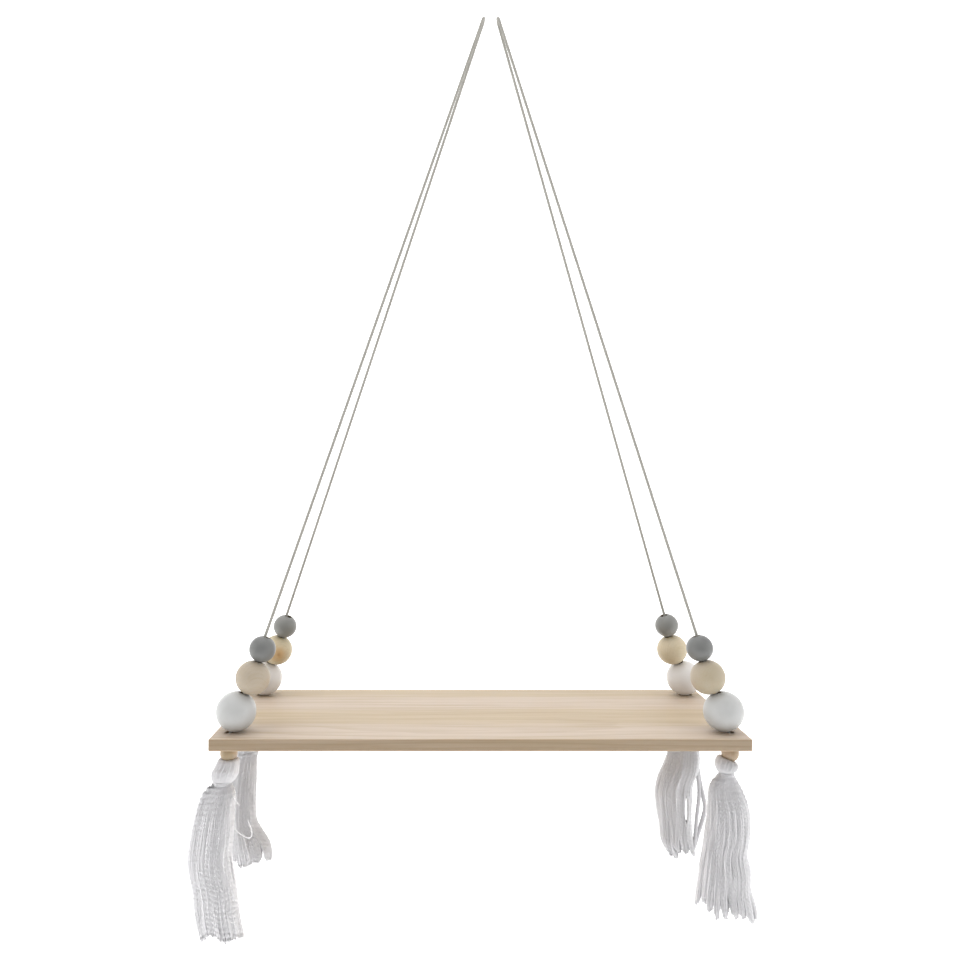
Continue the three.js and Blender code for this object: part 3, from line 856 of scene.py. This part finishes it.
# Strands of a skirt, in millimetres: where they start, how they fill it and how they wander
START_ABOVE_NECK = 3.4
START_DROP = 4.7
TOP_ABOVE_NECK = 4
TOP_WIDTH_SHARE = 0.8
EDGE_INSET_SHARE = 0.8
NECK_INSET = 0.6
FULL_BELOW_NECK = 28
SKIRT_DEPTH_SHARE = 0.78
RIPPLES = 7
RIPPLE_SHARE = 0.04
LOCK_SHARE = 0.2
SLIT_OPENING = 2.3
WANDER_ACROSS = ((1.3, 3.1), 0.35)
WANDER_BACK = ((1.1, 2.7), 0.15)
STRAND_STEPS = 32
OUTER_STRANDS = 96
INNER_STRANDS = 90
OUTER_SPREADS = (0.965, 1)
INNER_SPREAD = 0.93
END_LIFTS = (-1.4, 3.0)
# How far down the strand the painted light towards the neck fades away, as a share
PAINTED_LIGHT_RISE_SHARE = 0.36

# Fuzz: fine fibres that stand off the skirt
FUZZ_FIBRES = 170
FUZZ_THICKNESS = 0.055
FUZZ_LIFT = 8
FUZZ_STRAY = 1.1

# Head and binding, in millimetres
HEAD_STRANDS = 54
HEAD_STEPS = 30
HEAD_ABOVE_KNOT = 5
HEAD_BULGE_SHARE = 0.025
BINDING_TURNS = 3
BINDING_STEPS = 40
BINDING_HEIGHT = 2.4
BINDING_STAND_OFF = 0.55
BINDING_FLATNESS = 0.5
BINDING_TONE_SHARE = 0.94
THREAD_TWISTS = 6


def smooth(share):
    share = np.clip(share, 0, 1)
    return share * share * (3 - 2 * share)


def hermite(knots, values, at):
    """A smooth curve through the values."""
    slopes = np.gradient(values, knots)
    span = np.clip(np.searchsorted(knots, at, side="right") - 1, 0, len(knots) - 2)
    step = knots[span + 1] - knots[span]
    t = (at - knots[span]) / step
    return (
        (2 * t**3 - 3 * t**2 + 1) * values[span]
        + (t**3 - 2 * t**2 + t) * step * slopes[span]
        + (3 * t**2 - 2 * t**3) * values[span + 1]
        + (t**3 - t**2) * step * slopes[span + 1]
    )


def wave(rng, shares, swings, reach):
    """A slow wander along a strand that starts from nothing at its root."""
    total = np.zeros_like(shares)
    for turns in swings:
        total += np.sin(2 * math.pi * (turns * rng.uniform(0.8, 1.2) * shares + rng.uniform())) / turns
    return reach * total * smooth(shares / 0.35)


def twist_of(rng, route):
    """The yarn's own twist along a route, from a start of its own."""
    return rng.uniform(0, 2 * math.pi) + 2 * math.pi * distances_along(route) / YARN_TWIST_PITCH


def skirt_edges(tassel, drops):
    """The left and right edges of a skirt at its drops."""
    neck_x, neck_drop, neck_radius = tassel["neck"]
    top_wide = TOP_WIDTH_SHARE * neck_radius
    top = (neck_drop - TOP_ABOVE_NECK, neck_x - top_wide, neck_x + top_wide)
    neck = (neck_drop, neck_x - neck_radius, neck_x + neck_radius)
    stations = np.array([top, neck, *tassel["sides"]])
    return [hermite(stations[:, 0], stations[:, edge], np.minimum(drops, stations[-1, 0])) for edge in (1, 2)]


def from_camera(pivot):
    """How far the pivot is to the right of the camera, in front of it and below it."""
    right, away, up = (pivot - np.array(CAMERA_PLACE)) / MM
    return right, away, -up


def seen_from_camera(pivot, x, y, drop):
    """How far right and down of the pivot something looks from the camera, when it is y behind the pivot."""
    beside, away, below = from_camera(pivot)
    nearer = y / (away + y)
    return x - (x + beside) * nearer, drop - (drop + below) * nearer


def seen_place(pivot, x, y, drop):
    """How far right and down something y behind the pivot must be to look x and drop from it."""
    beside, away, below = from_camera(pivot)
    nearer = y / away
    return x + (x + beside) * nearer, drop + (drop + below) * nearer


def strand_end(tassel, pivot, spread, angle, lift):
    """How far down a strand ends, that much above the hem, and how far its lock draws it sideways."""
    hem, tips = np.array(tassel["hem"]), np.array(tassel["tips"])
    left, right = [edge[0] for edge in skirt_edges(tassel, np.array([tassel["sides"][-1][0]]))]
    wide = right - left
    x = (left + right) / 2 + (wide - 2 * YARN_RADIUS / MM) / 2 * spread * math.cos(angle)
    y = wide / 2 * SKIRT_DEPTH_SHARE * spread * math.sin(angle)
    seen_x, _ = seen_from_camera(pivot, x, y, 0)
    drawn = tassel["pull"] * (tips[np.argmin(np.abs(tips - seen_x))] - seen_x)
    _, end = seen_place(pivot, 0, min(0, y), np.interp(seen_x + drawn, hem[:, 0], hem[:, 1]) - lift)
    return end, drawn


def slit_open(tassel, pivot, x, y, drops):
    """The places across, moved aside where the skirt is slit."""
    slit_x, slit_top, slit_bottom = tassel["slit"]
    seen_x, seen_drop = seen_from_camera(pivot, x, y, drops)
    open_share = np.sin(math.pi * np.clip((seen_drop - slit_top) / (slit_bottom - slit_top), 0, 1)) ** 0.6
    gap = seen_x - slit_x
    return x + np.where(gap < 0, -1, 1) * np.maximum(0, SLIT_OPENING * open_share - np.abs(gap))


def strand_line(tassel, pivot, rng, spread, angle, lift):
    """One strand of a skirt, given its spread from the middle, its angle and its end's lift above the hem."""
    _, neck_drop, neck_radius = tassel["neck"]
    end, drawn = strand_end(tassel, pivot, spread, angle, lift)
    shares = np.linspace(0, 1, STRAND_STEPS)
    start = max(neck_drop - START_ABOVE_NECK, START_DROP)
    drops = start + shares * (end - start)
    left, right = skirt_edges(tassel, drops)
    inset = EDGE_INSET_SHARE * (YARN_RADIUS / MM)
    middle, half = (left + right) / 2, (right - left) / 2 - inset * smooth(shares / 0.2)
    full = smooth((drops - neck_drop) / FULL_BELOW_NECK)
    depth = (neck_radius - NECK_INSET) * (1 - full) + SKIRT_DEPTH_SHARE * half * full
    ripple = 1 + RIPPLE_SHARE * math.sin(RIPPLES * angle + 1)
    x = middle + half * spread * math.cos(angle) + drawn * smooth((shares - (1 - LOCK_SHARE)) / LOCK_SHARE)
    y = np.minimum(depth, half) * ripple * spread * math.sin(angle)
    x += wave(rng, shares, *WANDER_ACROSS)
    y += wave(rng, shares, *WANDER_BACK)
    if "slit" in tassel:
        x = slit_open(tassel, pivot, x, y, drops)
    return pivot + MM * np.stack([x, y, -drops], axis=1), shares


def skirt_lines(tassel, pivot, rng):
    """The strands of a skirt. They keep their order on a round section all the way down to their locks."""
    lines = []
    phase = rng.uniform(0, 2 * math.pi)
    for index in range(OUTER_STRANDS + INNER_STRANDS):
        if index < OUTER_STRANDS:
            spread = rng.uniform(*OUTER_SPREADS)
            angle = 2 * math.pi * (index + rng.uniform(-0.25, 0.25)) / OUTER_STRANDS
        else:
            spread = INNER_SPREAD * math.sqrt((index - OUTER_STRANDS + 0.5) / INNER_STRANDS)
            angle = index * GOLDEN_ANGLE + phase
        lift = rng.uniform(*END_LIFTS) * (1.2 - 0.7 * spread)
        route, shares = strand_line(tassel, pivot, rng, spread, angle, lift)
        thick = 0.74 + 0.26 * smooth((shares - 0.02) / 0.1) + 0.04 * np.sin(12 * shares + index)
        thick = thick * (1 - 0.25 * smooth((shares - 0.97) / 0.03))
        # Painted light and shade: the yarn is made paler towards the skirt's right and darker towards its
        # left.
        shading = 1 + tassel.get("shade", 0) * spread * math.cos(angle)
        shaded = tassel["tone_and_painted_shade"] * shading * rng.uniform(0.98, 1.0)
        # Painted light: the yarn is made paler towards the neck.
        paler = 1 + tassel["rise"] * (1 - smooth(shares / PAINTED_LIGHT_RISE_SHARE))
        lines.append((route, twist_of(rng, route), thick, shaded * paler))
    return lines


def fuzz_lines(tassel, pivot, rng):
    """Short fine fibres that stray off the skirt."""
    lines = []
    middle = pivot + np.array([tassel["neck"][0] * MM, 0, 0])
    for _ in range(FUZZ_FIBRES):
        angle = rng.uniform(0, 2 * math.pi)
        route, _ = strand_line(tassel, pivot, rng, 1.0, angle, rng.uniform(0, FUZZ_LIFT))
        start = rng.integers(6, STRAND_STEPS - 8)
        piece = route[start : start + rng.integers(4, 8)]
        stray = np.linspace(0.5, 1, len(piece))[:, None] * rng.normal(0, FUZZ_STRAY, 3) * MM
        outward = (piece - middle) * (1, 1, 0)
        outward = outward / np.maximum(np.linalg.norm(outward, axis=1), 1e-6)[:, None] * YARN_RADIUS
        # The fuzz takes the skirt's tone, with its painted shade.
        lines.append((piece + outward + stray, 0.0, FUZZ_THICKNESS, tassel["tone_and_painted_shade"]))
    return lines


def loose_lines(corner, pivot, rng):
    """The strands that hang clear of a skirt."""
    lines = []
    for thickness, places in LOOSE_STRANDS.get(corner, []):
        x, y, drop = np.array(places, float).T
        x, drop = seen_place(pivot, x, y, drop)
        rough = np.stack([x, y, -drop], axis=1)
        knots = np.linspace(0, 1, len(rough))
        fine = np.linspace(0, 1, 8 * len(rough))
        route = pivot + MM * np.stack([hermite(knots, rough[:, axis], fine) for axis in range(3)], axis=1)
        taper = 1 - 0.35 * smooth((fine - 0.93) / 0.07)
        lines.append((route, twist_of(rng, route), thickness * taper, LOOSE_TONES_PAINTED_SHADE[corner]))
    return lines


def head_lines(tassel, pivot, rng, tone_and_painted_shade):
    """Yarn laid from the cord over the knot and round to the neck. It may ride up higher on the left."""
    neck_x, neck_drop, _ = tassel["neck"]
    over = np.array(tassel.get("over", REAR_HEAD))
    high = np.array(tassel.get("high", over))
    knots = np.linspace(0, 1, len(over))
    fine = np.linspace(0, 1, HEAD_STEPS)
    lines = []
    for index in range(HEAD_STRANDS):
        angle = 2 * math.pi * (index + rng.uniform(-0.15, 0.15)) / HEAD_STRANDS
        section = over + (high - over) * (1 - math.cos(angle)) / 2
        radius = hermite(knots, section[:, 0], fine)
        drop = hermite(knots, section[:, 1], fine)
        lean = neck_x * np.clip((drop + HEAD_ABOVE_KNOT) / (neck_drop + HEAD_ABOVE_KNOT), 0, 1)
        bulge = 1 + HEAD_BULGE_SHARE * math.sin(index * 2.4) * np.sin(math.pi * fine)
        x, y = lean + radius * bulge * math.cos(angle), radius * bulge * math.sin(angle)
        _, seen = seen_place(pivot, 0, np.minimum(y, 0), drop)
        drop = drop + (seen - drop) * smooth(drop / 6)
        route = pivot + MM * np.stack([x, y, -drop], axis=1)
        thick = 0.6 + 0.3 * smooth(fine / 0.3) * smooth((1.35 - fine) / 0.6)
        lines.append((route, twist_of(rng, route), thick, tone_and_painted_shade * rng.uniform(0.97, 1.0)))
    return lines


def binding_line(tassel, pivot, tone_and_painted_shade):
    """The thread wound round the neck."""
    neck_x, neck_drop, neck_radius = tassel["neck"]
    angles = np.linspace(0, 2 * math.pi * BINDING_TURNS, BINDING_STEPS * BINDING_TURNS)
    share = angles / angles[-1]
    radius = neck_radius + BINDING_STAND_OFF
    x = neck_x + radius * np.cos(angles)
    y = (radius - BINDING_FLATNESS) * np.sin(angles)
    z = -neck_drop + (share - 0.5) * BINDING_HEIGHT
    return [(pivot + MM * np.stack([x, y, z], axis=1), THREAD_TWISTS * angles, 1.0, tone_and_painted_shade)]


def add_tassels():
    for number, (corner, tassel) in enumerate(TASSELS.items()):
        rng = np.random.default_rng(11 + number)
        body = f"{corner}_tassel"
        pivot = pivots[body]
        # The head's tone is painted shade: where it is given, it is darker than the skirt's, for the light
        # the head gets.
        head_tone_painted_shade = tassel.get("head_tone_painted_shade", tassel["tone_and_painted_shade"])
        lines = skirt_lines(tassel, pivot, rng) + fuzz_lines(tassel, pivot, rng)
        lines += loose_lines(corner, pivot, rng)
        skirt = spun(f"{corner}_skirt_yarn", lines, YARN_RADIUS, 8, YARN_PLIES, YARN_GROOVE_SHARE, yarn)
        dress(skirt, body, "yarn", f"{corner}_tassel_skirt")
        lines = head_lines(tassel, pivot, rng, head_tone_painted_shade)
        head = spun(f"{corner}_head_yarn", lines, YARN_RADIUS, 12, YARN_PLIES, YARN_GROOVE_SHARE, yarn)
        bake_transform(head)
        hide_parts(f"{corner}_tassel_head")
        # The binding thread takes the head's tone with its painted shade, made a little darker still.
        lines = binding_line(tassel, pivot, BINDING_TONE_SHARE * head_tone_painted_shade)
        name = f"{corner}_binding_thread"
        binding = spun(name, lines, THREAD_RADIUS, 8, THREAD_PLIES, THREAD_GROOVE_SHARE, yarn)
        dress(binding, body, "yarn", f"{corner}_tassel_binding")


# The whole shelf
add_camera()
strand_tree = spinning_tree()
wood_grain = wood_group()
cotton_fibre = fibre_group()
paint_film = paint_group()

pine = wood_material(
    "planed_pine", (0.0, -0.035, -0.66), (0.0, 0.0, 0.0), 0.62,
    {
        "Pale wood": (0.462, 0.367, 0.252, 1),
        "Blush": (0.507, 0.418, 0.34, 1),
        "Ring line": (0.354, 0.266, 0.168, 1),
        "Band width": 0.042, "Ring width": 0.0034, "Ring strength": 0.55, "Fibre strength": 0.3,
        "Streak strength": 0.45,
    },
    # Painted shade on the board's upright faces.
    painted_edge_shade=(0.725, 0.683, 0.6, 1),
)
bead_wood = {
    "Pale wood": (0.41, 0.352, 0.255, 1),
    "Blush": (0.422, 0.36, 0.28, 1),
    "Ring line": (0.333, 0.255, 0.155, 1),
    "Band width": 0.02, "Ring width": 0.0016, "Ring strength": 0.14, "Fibre strength": 0.22,
}
# Painted light: the rear beads' wood is this wood made paler.
bead_wood_with_painted_light = {**bead_wood, "Pale wood": (0.555, 0.475, 0.32, 1), "Blush": (0.56, 0.48, 0.34, 1)}
grain_turn = (0.0, 0.0, math.radians(24))
bare_wood = wood_material("bare_turned_wood", (0.0, 0.03, -0.52), grain_turn, 0.5, bead_wood)
turned_wood_painted_light = wood_material("turned_wood_with_painted_light", (0.0, 0.03, -0.52), grain_turn, 0.5, bead_wood_with_painted_light)
small_wood = wood_material(
    "bare_small_wood", (0.0, 0.0, -0.6), (0.0, math.radians(90), 0.0), 0.5,
    {
        "Pale wood": (0.357, 0.284, 0.183, 1),
        "Blush": (0.39, 0.3, 0.215, 1),
        "Ring line": (0.31, 0.21, 0.1, 1),
        "Band width": 0.009, "Ring width": 0.0012, "Ring strength": 0.35, "Fibre strength": 0.35,
    },
)
knotty_wood = knotty_material()
white_paint = paint_material("white_painted_wood", (0.48, 0.483, 0.478, 1), (0.446, 0.446, 0.436, 1), 0.8)
# Painted light: the rear beads' white paint is this paint made paler and a little warmer.
white_paint_painted_light = paint_material(
    "white_painted_wood_painted_light", (0.67, 0.645, 0.62, 1), (0.63, 0.605, 0.575, 1), 0.8
)
grey_paint = paint_material("grey_painted_wood", (0.152, 0.155, 0.151, 1), (0.178, 0.178, 0.168, 1), 0.2)
# Painted light: the rear beads' grey paint is this paint made paler and a little warmer.
grey_paint_painted_light = paint_material(
    "grey_painted_wood_painted_light", (0.198, 0.198, 0.186, 1), (0.226, 0.224, 0.206, 1), 0.2
)
# Painted shade for the inside of the bores: a very dark wood.
bore_painted_shade = wood_material(
    "bore_painted_shade", (0.0, 0.0, -0.55), (0.0, 0.0, 0.0), 0.8,
    {
        "Pale wood": (0.13, 0.1, 0.058, 1),
        "Blush": (0.115, 0.083, 0.05, 1),
        "Ring line": (0.06, 0.043, 0.026, 1),
    },
)
cord_cotton = cotton_material(
    "twisted_cotton", (0.385, 0.375, 0.345, 1), (0.31, 0.3, 0.27, 1), (1500.0, 1500.0, 700.0), 0.6, 0.25, 0.2
)
yarn = cotton_material(
    "white_yarn", (0.965, 0.953, 0.98, 1), (0.9, 0.886, 0.92, 1), (1300.0, 1300.0, 110.0), 0.5, 0.4, 0.6
)

add_cords()
add_beads()
add_board()
add_tassels()
add_light()
add_floor()
